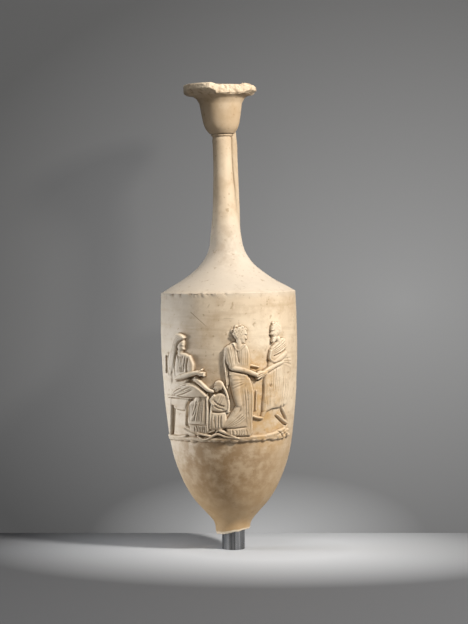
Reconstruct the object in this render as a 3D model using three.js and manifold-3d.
// A marble funerary lekythos with a carved frieze, broken off below and held up by a steel post.
// Millimetres, +Z up, the frieze faces -Y, and the floor under the post is z = 0.
import * as THREE from 'three'
import { mergeVertices } from 'three/addons/utils/BufferGeometryUtils.js'
import Module from 'manifold-3d'

const wasm = await Module()
wasm.setup()

// Post
const POST_RADIUS = 35
const POST_CLEAR_HEIGHT = 50
const POST_CHAMFER = 2
const SOCKET_DEPTH = 60
const SOCKET_CLEARANCE = 1
const SEAT_GAP = 0.3

// Body, from the break at the stem up to the shoulder's edge
const STEM_RADIUS = 53
const BODY_HEIGHT = 736
const BODY_RADIUS = 209.5
const SHOULDER_EDGE_RADIUS = 207
const BREAK_RISE = 16
const BREAK_JAG = 2

// Shoulder and neck
const SHOULDER_RISE = 147
const NECK_FOOT_RADIUS = 51
const NECK_HEIGHT = 327
const NECK_RADIUS = 29.5

// Bead and mouth
const BEAD_HEIGHT = 12
const BEAD_RADIUS = 34
const MOUTH_HEIGHT = 119
const MOUTH_FOOT_RADIUS = 38
const MOUTH_RADIUS = 66
const LIP_HEIGHT = 32
const LIP_RADIUS = 113
const LIP_WALL = 28
const BOWL_WALL = 20
const BOWL_DEPTH = 131

// The vase leans to the viewer's left, its neck a little more
const BODY_LEAN = THREE.MathUtils.degToRad(1.2)
const NECK_LEAN = THREE.MathUtils.degToRad(1.1)

// Handle: a broad rib behind the neck, crowned across, from the shoulder's cone up beside the mouth's foot
const HANDLE_WIDTH = 60
const HANDLE_REACH = 62
const HANDLE_CROWN = 6
const HANDLE_FOOT_SWELL = 14
const HANDLE_TOP_EASE = 8
const HANDLE_TOP_LAP = 12
const HANDLE_DEPTH_IN_NECK = 4
const HANDLE_TURN = THREE.MathUtils.degToRad(20)

// Frieze: its ground line above the break and the height of its band, whose places are given in divisions
const GROUND_RISE = 290
const FRIEZE_HEIGHT = 360
const FRIEZE_DIVISIONS = 360
const FRIEZE_MARGIN = 9
const FRIEZE_LEFT = -298
const FRIEZE_RIGHT = 252
const FRIEZE_STEP = 8.8
const FRIEZE_ROOT = 18
const CARVED_FROM = 0.6
const GROUND_SINK = 3

// Facets round the vase
const SIDES = 48

// Heights that follow from the sizes above
const BREAK_Z = POST_CLEAR_HEIGHT
const SHOULDER_Z = BREAK_Z + BODY_HEIGHT
const NECK_FOOT_Z = SHOULDER_Z + SHOULDER_RISE
const BEAD_Z = NECK_FOOT_Z + NECK_HEIGHT
const MOUTH_Z = BEAD_Z + BEAD_HEIGHT
const LIP_Z = MOUTH_Z + MOUTH_HEIGHT
const RIM_Z = LIP_Z + LIP_HEIGHT
const GROUND_Z = BREAK_Z + GROUND_RISE
const SOCKET_TOP_Z = BREAK_Z + SOCKET_DEPTH

const { clamp, lerp } = THREE.MathUtils

// Outline

// The body's swell: shares of its height, and of the way from the stem's radius to the widest
const SWELL = [
  [0, 0], [0.03, 0.01], [0.052, 0.045], [0.072, 0.12], [0.1, 0.24], [0.148, 0.43], [0.216, 0.61],
  [0.317, 0.785], [0.427, 0.88], [0.603, 0.96], [0.8, 0.998],
]
// The shoulder's hollow cone: shares of its rise, and of the way in from its edge to the neck's foot
const CONE = [[0.11, 0.165], [0.25, 0.4], [0.41, 0.613], [0.58, 0.795], [0.8, 0.936], [1, 1]]
// The neck's slow taper, shares in the same way
const TAPER = [[0.3, 0.58], [0.6, 0.88], [0.88, 1], [0.98, 0.95]]
// The mouth's outer curve, shares of its height and of its widening
const FLARE = [[0, 0], [0.13, 0.42], [0.3, 0.66], [0.53, 0.84], [0.78, 1]]

const between = (shares, fromZ, height, fromRadius, toRadius) =>
  shares.map(([up, over]) => new THREE.Vector2(lerp(fromRadius, toRadius, over), fromZ + height * up))

function bodyOutline() {
  const swell = between(SWELL, BREAK_Z, BODY_HEIGHT, STEM_RADIUS, BODY_RADIUS)
  return [...swell, new THREE.Vector2(SHOULDER_EDGE_RADIUS, SHOULDER_Z)]
}

function arc(centerRadius, centerZ, radius, fromDegrees, toDegrees, steps) {
  const points = []
  for (let i = 0; i <= steps; i++) {
    const angle = THREE.MathUtils.degToRad(lerp(fromDegrees, toDegrees, i / steps))
    points.push(new THREE.Vector2(centerRadius + radius * Math.cos(angle), centerZ + radius * Math.sin(angle)))
  }
  return points
}

const drumCurve = new THREE.SplineCurve(bodyOutline())
const drumPoints = drumCurve.getPoints(13)

function drumRadius(z) {
  for (let i = 1; i < drumPoints.length; i++) {
    const low = drumPoints[i - 1]
    const high = drumPoints[i]
    if (z <= high.y) return lerp(low.x, high.x, clamp((z - low.y) / (high.y - low.y), 0, 1))
  }
  return SHOULDER_EDGE_RADIUS
}

// The bowl inside the mouth, from the rim's inner edge down to its rounded floor
function bowlOutline() {
  const floorZ = RIM_Z - BOWL_DEPTH
  const throat = MOUTH_RADIUS - BOWL_WALL
  const bottom = lerp(MOUTH_FOOT_RADIUS, MOUTH_RADIUS, 0.6) - BOWL_WALL
  return [
    new THREE.Vector2(LIP_RADIUS - LIP_WALL, RIM_Z),
    new THREE.Vector2(lerp(throat, LIP_RADIUS - LIP_WALL, 0.4), RIM_Z - LIP_HEIGHT),
    new THREE.Vector2(throat, LIP_Z - MOUTH_HEIGHT * 0.25),
    new THREE.Vector2(bottom, lerp(floorZ, LIP_Z, 0.2)),
    new THREE.Vector2(bottom * 0.6, floorZ + 3),
    new THREE.Vector2(0, floorZ),
  ]
}

function vaseOutline() {
  const edge = LIP_HEIGHT * 0.12
  return [
    new THREE.Vector2(0, BREAK_Z),
    ...drumPoints,
    ...between(CONE, SHOULDER_Z, SHOULDER_RISE, SHOULDER_EDGE_RADIUS, NECK_FOOT_RADIUS),
    ...between(TAPER, NECK_FOOT_Z, NECK_HEIGHT, NECK_FOOT_RADIUS, NECK_RADIUS),
    ...arc(BEAD_RADIUS - BEAD_HEIGHT / 2, BEAD_Z + BEAD_HEIGHT / 2, BEAD_HEIGHT / 2, -80, 80, 3),
    ...between(FLARE, MOUTH_Z, MOUTH_HEIGHT, MOUTH_FOOT_RADIUS, MOUTH_RADIUS),
    new THREE.Vector2(lerp(MOUTH_RADIUS, LIP_RADIUS, 0.17), LIP_Z - MOUTH_HEIGHT * 0.1),
    new THREE.Vector2(lerp(MOUTH_RADIUS, LIP_RADIUS, 0.45), LIP_Z - MOUTH_HEIGHT * 0.025),
    new THREE.Vector2(lerp(MOUTH_RADIUS, LIP_RADIUS, 0.82), LIP_Z),
    new THREE.Vector2(LIP_RADIUS, LIP_Z + edge),
    new THREE.Vector2(LIP_RADIUS, RIM_Z - edge),
    new THREE.Vector2(LIP_RADIUS - edge, RIM_Z),
    ...bowlOutline(),
  ]
}

// Breaks

const wave = (angle, count, shift) => Math.sin(angle * count + shift)

// How far the broken stem's edge rises and falls round the vase
function breakHeight(angle) {
  const jag = 0.5 * wave(angle, 3, 0.6) + 0.3 * wave(angle, 7, 2) + 0.2 * wave(angle, 12, 1)
  return BREAK_RISE * (0.45 + 0.5 * Math.sin(angle - 0.15)) + BREAK_JAG * jag
}

// A flat bite takes the lip off across the front, square to this direction and leaning out as it rises
const LIP_BITE_TURN = THREE.MathUtils.degToRad(21)
const LIP_BITE_FOOT = 71
const LIP_BITE_TOP = 94
// The corner beside it, at the viewer's right, is chipped down and in
const LIP_CHIP_FROM = THREE.MathUtils.degToRad(48)
const LIP_CHIP_TO = THREE.MathUtils.degToRad(108)
const LIP_CHIP_DROP = 10
const LIP_CHIP_SLOPE = 1.8
// The lip's lower edge is knocked off to the left of the bite
const UNDER_CHIP_FROM = THREE.MathUtils.degToRad(-62)
const UNDER_CHIP_TO = THREE.MathUtils.degToRad(-8)
const UNDER_CHIP_RISE = 15
const UNDER_CHIP_SLOPE = 1.4

function brokenLip(angle, radius, z) {
  const biteFloor = LIP_Z - MOUTH_HEIGHT * 0.12
  const inner = LIP_RADIUS - LIP_WALL
  if (radius <= inner && z > biteFloor || z < biteFloor) return radius
  const rough = 1.6 * wave(angle, 9, 0.4) + 1.2 * wave(angle, 17, 2)
  const across = Math.cos(angle - LIP_BITE_TURN)
  const lipEdge = LIP_Z + LIP_HEIGHT * 0.12
  const reach = lerp(LIP_BITE_FOOT, LIP_BITE_TOP, clamp((z - biteFloor) / (lipEdge - biteFloor), 0, 1))
  let limit = across > 0.3 ? reach / across + rough : Infinity
  if (angle > LIP_CHIP_FROM && angle < LIP_CHIP_TO) {
    const drop = Math.max(0, z - (RIM_Z - LIP_CHIP_DROP))
    limit = Math.min(limit, LIP_RADIUS - 2 + rough - LIP_CHIP_SLOPE * drop)
  }
  if (angle > UNDER_CHIP_FROM && angle < UNDER_CHIP_TO) {
    const below = Math.max(0, LIP_Z + UNDER_CHIP_RISE - z)
    limit = Math.min(limit, LIP_RADIUS + rough - UNDER_CHIP_SLOPE * below)
  }
  return Math.min(radius, Math.max(limit, inner + 1))
}

// Relief

// A smooth line through a few places, as [round the drum, up] pairs with its share of the way along
function trace(places, closed = false) {
  const points = places.map(([across, up]) => new THREE.Vector2(across, up))
  if (closed) points.push(points[0].clone())
  return new THREE.SplineCurve(points).getPoints((points.length - 1) * 4)
}

// The area outside which a stroke changes nothing
const areaOf = (lines, reach = 0) => new THREE.Box2().setFromPoints(lines.flat()).expandByScalar(reach)

function nearest(line, u, v) {
  let best = { distance: Infinity, share: 0 }
  for (let i = 1; i < line.length; i++) {
    const a = line[i - 1]
    const b = line[i]
    const du = b.x - a.x
    const dv = b.y - a.y
    const t = clamp(((u - a.x) * du + (v - a.y) * dv) / (du * du + dv * dv + 1e-9), 0, 1)
    const distance = Math.hypot(u - a.x - t * du, v - a.y - t * dv)
    if (distance < best.distance) best = { distance, share: (i - 1 + t) / (line.length - 1) }
  }
  return best
}

function alongWidths(widths, share) {
  if (widths.length === 1) return widths[0]
  const place = clamp(share, 0, 1) * (widths.length - 1)
  const low = Math.min(Math.floor(place), widths.length - 2)
  return lerp(widths[low], widths[low + 1], place - low)
}

// A rounded limb, roll or edge: half widths along its places, the height it starts from and its rise
function limb(places, widths, base, rise) {
  const line = trace(places)
  const area = areaOf([line], Math.max(...widths))
  return (u, v, height) => {
    if (!area.containsPoint({ x: u, y: v })) return height
    const { distance, share } = nearest(line, u, v)
    const across = distance / alongWidths(widths, share)
    return across < 1 ? Math.max(height, base + rise * Math.sqrt(1 - across * across)) : height
  }
}

function isInside(ring, u, v) {
  let inside = false
  for (let i = 1; i < ring.length; i++) {
    const a = ring[i - 1]
    const b = ring[i]
    const crosses = a.y > v !== b.y > v
    if (crosses && u < ((b.x - a.x) * (v - a.y)) / (b.y - a.y) + a.x) inside = !inside
  }
  return inside
}

// A flat area with a rounded edge, such as a body under its cloth
function panel(places, rise, edge) {
  const ring = trace(places, true)
  const area = areaOf([ring])
  return (u, v, height) => {
    if (!area.containsPoint({ x: u, y: v }) || !isInside(ring, u, v)) return height
    const inward = clamp(nearest(ring, u, v).distance / edge, 0, 1)
    return Math.max(height, rise * (0.35 + 0.65 * Math.sqrt(1 - (1 - inward) ** 2)))
  }
}

// An egg-shaped rise, such as a head
function knob([across, up], halfWidth, halfHeight, base, rise) {
  return (u, v, height) => {
    const inside = 1 - ((u - across) / halfWidth) ** 2 - ((v - up) / halfHeight) ** 2
    return inside > 0 ? Math.max(height, base + rise * Math.sqrt(inside)) : height
  }
}

// Ridges of cloth, spread evenly from a first line to a last one
function folds(first, last, count, rise) {
  const from = trace(first)
  const to = trace(last)
  const ridges = []
  for (let i = 0; i < count; i++) {
    ridges.push(from.map((point, k) => point.clone().lerp(to[k], i / (count - 1))))
  }
  const gaps = from.map((point, k) => point.distanceTo(to[k]) / (count - 1))
  const area = areaOf(ridges, Math.max(...gaps))
  return (u, v, height) => {
    if (height < CARVED_FROM || !area.containsPoint({ x: u, y: v })) return height
    let lift = 0
    for (const ridge of ridges) {
      const { distance, share } = nearest(ridge, u, v)
      const across = distance / (0.5 * alongWidths(gaps, share))
      if (across < 1) lift = Math.max(lift, rise * Math.sqrt(1 - across * across) - 0.35 * rise)
    }
    return height + lift
  }
}

// Figures of the frieze, as places round the drum from its middle and up from the ground line

const groundLedge = [
  limb([[-270, 10], [-183, 12], [-79, 12], [13, 14], [116, 17], [182, 15]], [8], 0, 9),
  limb([[-152, 48], [-129, 37], [-103, 25], [-60, 20], [-38, 28], [23, 16]], [7], 1, 9),
  limb([[127, 19], [171, 21], [197, 32], [225, 22], [242, 8]], [6.5], 0, 9),
]

const chair = [
  limb([[-238, 265], [-244, 216], [-230, 135]], [4.5], 0, 5),
  limb([[-242, 135], [-181, 135], [-112, 132]], [6], 4, 11),
  panel([[-231, 129], [-130, 127], [-150, 95], [-192, 96], [-226, 98]], 8, 5),
  limb([[-226, 129], [-241, 88], [-271, 50], [-290, 16]], [6], 0, 9),
  limb([[-132, 127], [-144, 105], [-151, 75], [-161, 38]], [6, 5], 0, 9),
]

function seatedWoman() {
  const shoulder = [-121, 257]
  const elbow = [-172, 196]
  const wrist = [-103, 211]
  const lap = [-142, 178]
  const knee = [-72, 141]
  const hem = [-71, 30]
  return [
    panel([[-180, 318], [-173, 279], [-184, 194], [-193, 146], [-222, 138], [-227, 217], [-203, 281]], 9, 9),
    panel([[-173, 270], [-144, 270], shoulder, [-110, 241], [-125, 199], [-134, 178], [-200, 160]], 13, 14),
    folds([[-165, 261], [-156, 210]], [[-122, 257], [-145, 210]], 4, 2.6),
    panel([[-208, 142], [-178, 164], lap, [-92, 168], knee, [-74, 134], [-163, 132]], 17, 13),
    folds([[-202, 142], [-164, 162], [-134, 179]], [[-133, 139], [-106, 157], [-86, 158]], 4, 3),
    panel([[-130, 127], knee, [-66, 125], [-71, 58], [-138, 57], [-137, 97]], 10, 6),
    limb([[-98, 131], [-116, 100], [-130, 70]], [13, 9, 7], 3, 11),
    folds([[-95, 128], [-109, 97], [-123, 67]], [[-71, 134], [-75, 98], [-78, 65]], 4, 3),
    panel([[-138, 56], [-71, 56], hem, [-110, 30]], 8, 4),
    limb([[-101, 193], [-85, 180], [-66, 163], [-50, 157]], [8, 6, 5], 8, 9),
    limb([elbow, [-136, 203], wrist, [-79, 212]], [9, 8, 6.5, 5.5], 12, 9),
    limb([[-154, 276], [-150, 258]], [8], 3, 12),
    knob([-159, 300], 17, 27, 0, 16),
    knob([-149, 291], 11.5, 19, 6, 13),
  ]
}

function smallGirl() {
  const head = [-33, 172]
  return [
    panel([[-52, 143], [-33, 151], [-10, 146], [-6, 98], [-15, 47], [-62, 43], [-58, 95]], 11, 8),
    folds([[-54, 131], [-35, 144], [-12, 141]], [[-50, 104], [-33, 113], [-13, 110]], 3, 2.6),
    folds([[-52, 89], [-56, 44]], [[-18, 89], [-19, 47]], 3, 2.4),
    knob(head, 15.5, 17, 0, 16),
    limb([[-24, 181], [-13, 159], [-6, 136]], [4.5], 6, 7),
  ]
}

function standingFigure() {
  const neck = [28, 297]
  const elbow = [13, 224]
  const wrist = [64, 209]
  const clasp = [84, 203]
  const hip = [18, 190]
  const knee = [26, 116]
  return [
    limb([[-9, 282], [-13, 247], [-7, 166]], [6, 5, 4], 0, 9),
    panel([[-6, 289], [12, 301], [47, 294], [59, 271], [61, 236], [42, 171], [3, 172], [-6, 249]], 13, 12),
    panel([[0, 202], [51, 200], [72, 128], [67, 74], [63, 24], [-6, 26], [-27, 49], [28, 103], [6, 154]], 12, 7),
    limb([hip, [19, 154], knee], [17, 14, 11], 5, 12),
    limb([knee, [9, 85], [-23, 50]], [10, 10, 6], 3, 9),
    folds([[31, 97], [7, 72], [-24, 48]], [[51, 78], [26, 58], [-9, 47]], 3, 3),
    folds([[36, 171], [39, 114], [40, 30]], [[68, 164], [67, 104], [64, 30]], 3, 3),
    folds([[3, 291], [15, 264], [19, 231]], [[51, 289], [55, 260], [55, 224]], 4, 2.6),
    limb([[1, 282], [4, 249], elbow], [12, 14, 12], 6, 12),
    limb([[49, 233], [64, 230], [80, 228]], [5], 2, 9),
    limb([elbow, [40, 218], wrist, clasp], [9, 8, 6.5, 6], 12, 10),
    limb([[28, 312], neck, [28, 284]], [9], 4, 12),
    knob([31, 324], 21, 26.5, 0, 17),
    knob([40, 319], 13, 21, 6, 13),
    limb([[-33, 40], [-12, 30], [13, 19]], [5.5], 3, 10),
    limb([[34, 31], [58, 24]], [5], 3, 9),
  ]
}

function beardedMan() {
  const shoulder = [198, 262]
  const elbow = [140, 231]
  const clasp = [84, 204]
  return [
    panel([
      [131, 283], [154, 299], [186, 309], [213, 285], [230, 203], [205, 114], [177, 101],
      [97, 93], [101, 186], [120, 239],
    ], 13, 11),
    limb([[163, 225], [155, 165], [147, 118]], [26, 24, 17], 2, 13),
    folds([[183, 311], [150, 293], [129, 271]], [[216, 276], [174, 262], [136, 243]], 4, 3),
    folds([[165, 243], [190, 252], [219, 258]], [[165, 225], [191, 214], [227, 194]], 3, 2.6),
    folds([[109, 186], [106, 138], [109, 96]], [[216, 179], [200, 141], [194, 109]], 5, 2),
    limb([shoulder, [167, 244], elbow], [11, 10, 9], 6, 9),
    limb([elbow, [118, 218], clasp], [9, 7.5, 7], 10, 9),
    limb([[111, 99], [101, 80]], [8, 6], 1, 9),
    limb([[100, 73], [84, 75], [65, 82]], [5.5, 4.5], 1, 9),
    limb([[167, 110], [196, 78], [211, 56]], [11, 8, 6], 1, 10),
    limb([[214, 51], [183, 64], [151, 83]], [6, 5], 1, 10),
    limb([[161, 303], [171, 281]], [9], 3, 12),
    knob([149, 328], 19, 27, 0, 17),
    limb([[134, 314], [137, 299]], [9, 6.5], 6, 12),
  ]
}

const figures = [...groundLedge, ...chair, ...seatedWoman(), ...smallGirl(), ...standingFigure(), ...beardedMan()]
const friezeScale = FRIEZE_HEIGHT / FRIEZE_DIVISIONS

// The carving's height over one facet: the mean of nine places on it, with the bare ground sunk a little,
// so that a figure's edge runs smoothly through the facets
function reliefHeight(girth, rise) {
  let sum = 0
  for (let i = -1; i <= 1; i++) {
    for (let k = -1; k <= 1; k++) {
      const u = (girth + (i * FRIEZE_STEP) / 3) / friezeScale
      const v = (rise + (k * FRIEZE_STEP) / 3) / friezeScale
      const height = figures.reduce((before, stroke) => stroke(u, v, before), 0)
      sum += height > CARVED_FROM ? height : -GROUND_SINK
    }
  }
  return (friezeScale * sum) / 9
}

// Solids

function toManifold(geometry) {
  geometry.deleteAttribute('normal')
  geometry.deleteAttribute('uv')
  const merged = mergeVertices(geometry, 1e-4)
  const vertProperties = new Float32Array(merged.attributes.position.array)
  const triVerts = new Uint32Array(merged.index.array)
  return new wasm.Manifold(new wasm.Mesh({ numProp: 3, vertProperties, triVerts }))
}

function toGeometry(manifold) {
  const mesh = manifold.getMesh()
  const geometry = new THREE.BufferGeometry()
  geometry.setAttribute('position', new THREE.BufferAttribute(new Float32Array(mesh.vertProperties), 3))
  geometry.setIndex(new THREE.BufferAttribute(new Uint32Array(mesh.triVerts), 1))
  geometry.computeVertexNormals()
  return geometry
}

function movePoints(geometry, move) {
  const position = geometry.attributes.position
  const point = new THREE.Vector3()
  for (let i = 0; i < position.count; i++) {
    point.fromBufferAttribute(position, i)
    move(point)
    position.setXYZ(i, point.x, point.y, point.z)
  }
  return geometry
}

// A lathe turns about Y, so its result is stood up on Z
function turned(outline, sides = SIDES) {
  return new THREE.LatheGeometry(outline, sides).rotateX(Math.PI / 2)
}

// Angle 0 is the front, -Y, and grows to the viewer's right
const frontAngle = (point) => Math.atan2(point.x, -point.y)

function placeRound(point, angle, radius) {
  point.x = radius * Math.sin(angle)
  point.y = -radius * Math.cos(angle)
}

function vaseSolid() {
  const geometry = turned(vaseOutline())
  return movePoints(geometry, (point) => {
    const radius = Math.hypot(point.x, point.y)
    if (radius < 1e-3) return
    const angle = frontAngle(point)
    placeRound(point, angle, brokenLip(angle, radius, point.z))
    if (point.z < BREAK_Z + 0.5) point.z += breakHeight(angle)
  })
}

// A slab wrapped round the drum's front: it stands out where a figure is, and lies inside the drum elsewhere
function friezeSolid() {
  const width = (FRIEZE_RIGHT - FRIEZE_LEFT) * friezeScale
  const center = ((FRIEZE_RIGHT + FRIEZE_LEFT) / 2) * friezeScale
  const height = FRIEZE_HEIGHT + FRIEZE_MARGIN
  const columns = Math.round(width / FRIEZE_STEP)
  const rows = Math.round(height / FRIEZE_STEP)
  const geometry = new THREE.BoxGeometry(width, FRIEZE_ROOT, height, columns, 1, rows)
  const middle = drumRadius(GROUND_Z + FRIEZE_HEIGHT / 2)
  return movePoints(geometry, (point) => {
    const outer = point.y < 0
    const rise = point.z + height / 2 - FRIEZE_MARGIN
    const z = GROUND_Z + rise
    const girth = point.x + center
    const lift = reliefHeight(girth, rise)
    const surface = drumRadius(z)
    placeRound(point, girth / middle, surface + (outer ? lift : -FRIEZE_ROOT))
    point.z = z
  })
}

function handleSolid() {
  const low = SHOULDER_Z + SHOULDER_RISE * 0.45
  const top = MOUTH_Z + HANDLE_TOP_LAP
  const height = top - low
  const geometry = new THREE.BoxGeometry(HANDLE_WIDTH, HANDLE_REACH, height, 4, 1, 10)
  return movePoints(geometry, (point) => {
    const share = point.z / height + 0.5
    const outer = point.y > 0
    const fall = HANDLE_CROWN * ((2 * point.x) / HANDLE_WIDTH) ** 2
    const swell = HANDLE_FOOT_SWELL * clamp((0.25 - share) / 0.25, 0, 1) ** 2
    const ease = HANDLE_TOP_EASE * clamp((share - 0.9) / 0.1, 0, 1)
    point.y = outer ? HANDLE_REACH - fall + swell - ease : HANDLE_DEPTH_IN_NECK
    point.z += low + height / 2
    point.applyAxisAngle(new THREE.Vector3(0, 0, 1), -HANDLE_TURN)
  })
}

// The whole vase leans about the post's foot, and the neck leans on from the shoulder's edge
function lean(point) {
  const neckShift = Math.tan(NECK_LEAN) * Math.max(point.z - SHOULDER_Z, 0)
  point.x -= neckShift
  point.applyAxisAngle(new THREE.Vector3(0, 1, 0), -BODY_LEAN)
}

function lekythosGeometry() {
  const carved = toManifold(vaseSolid()).add(toManifold(friezeSolid())).add(toManifold(handleSolid()))
  const leaning = toManifold(movePoints(toGeometry(carved), lean))
  const socket = new THREE.CylinderGeometry(
    POST_RADIUS + SOCKET_CLEARANCE, POST_RADIUS + SOCKET_CLEARANCE, 2 * SOCKET_DEPTH, SIDES,
  )
  socket.rotateX(Math.PI / 2).translate(0, 0, SOCKET_TOP_Z - SOCKET_DEPTH)
  return toGeometry(leaning.subtract(toManifold(socket)))
}

function postGeometry() {
  const top = SOCKET_TOP_Z - SEAT_GAP
  return turned([
    new THREE.Vector2(0, 0),
    new THREE.Vector2(POST_RADIUS, 0),
    new THREE.Vector2(POST_RADIUS, top - POST_CHAMFER),
    new THREE.Vector2(POST_RADIUS - POST_CHAMFER, top),
    new THREE.Vector2(0, top),
  ])
}

const lekythos = new THREE.Mesh(
  lekythosGeometry(),
  new THREE.MeshStandardMaterial({ color: 0xcdb598, roughness: 0.6, metalness: 0 }),
)
lekythos.name = 'lekythos'

const supportPost = new THREE.Mesh(
  postGeometry(),
  new THREE.MeshStandardMaterial({ color: 0x8c8a86, roughness: 0.4, metalness: 1 }),
)
supportPost.name = 'support_post'

const assembly = new THREE.Group()
assembly.add(lekythos, supportPost)

export default assembly
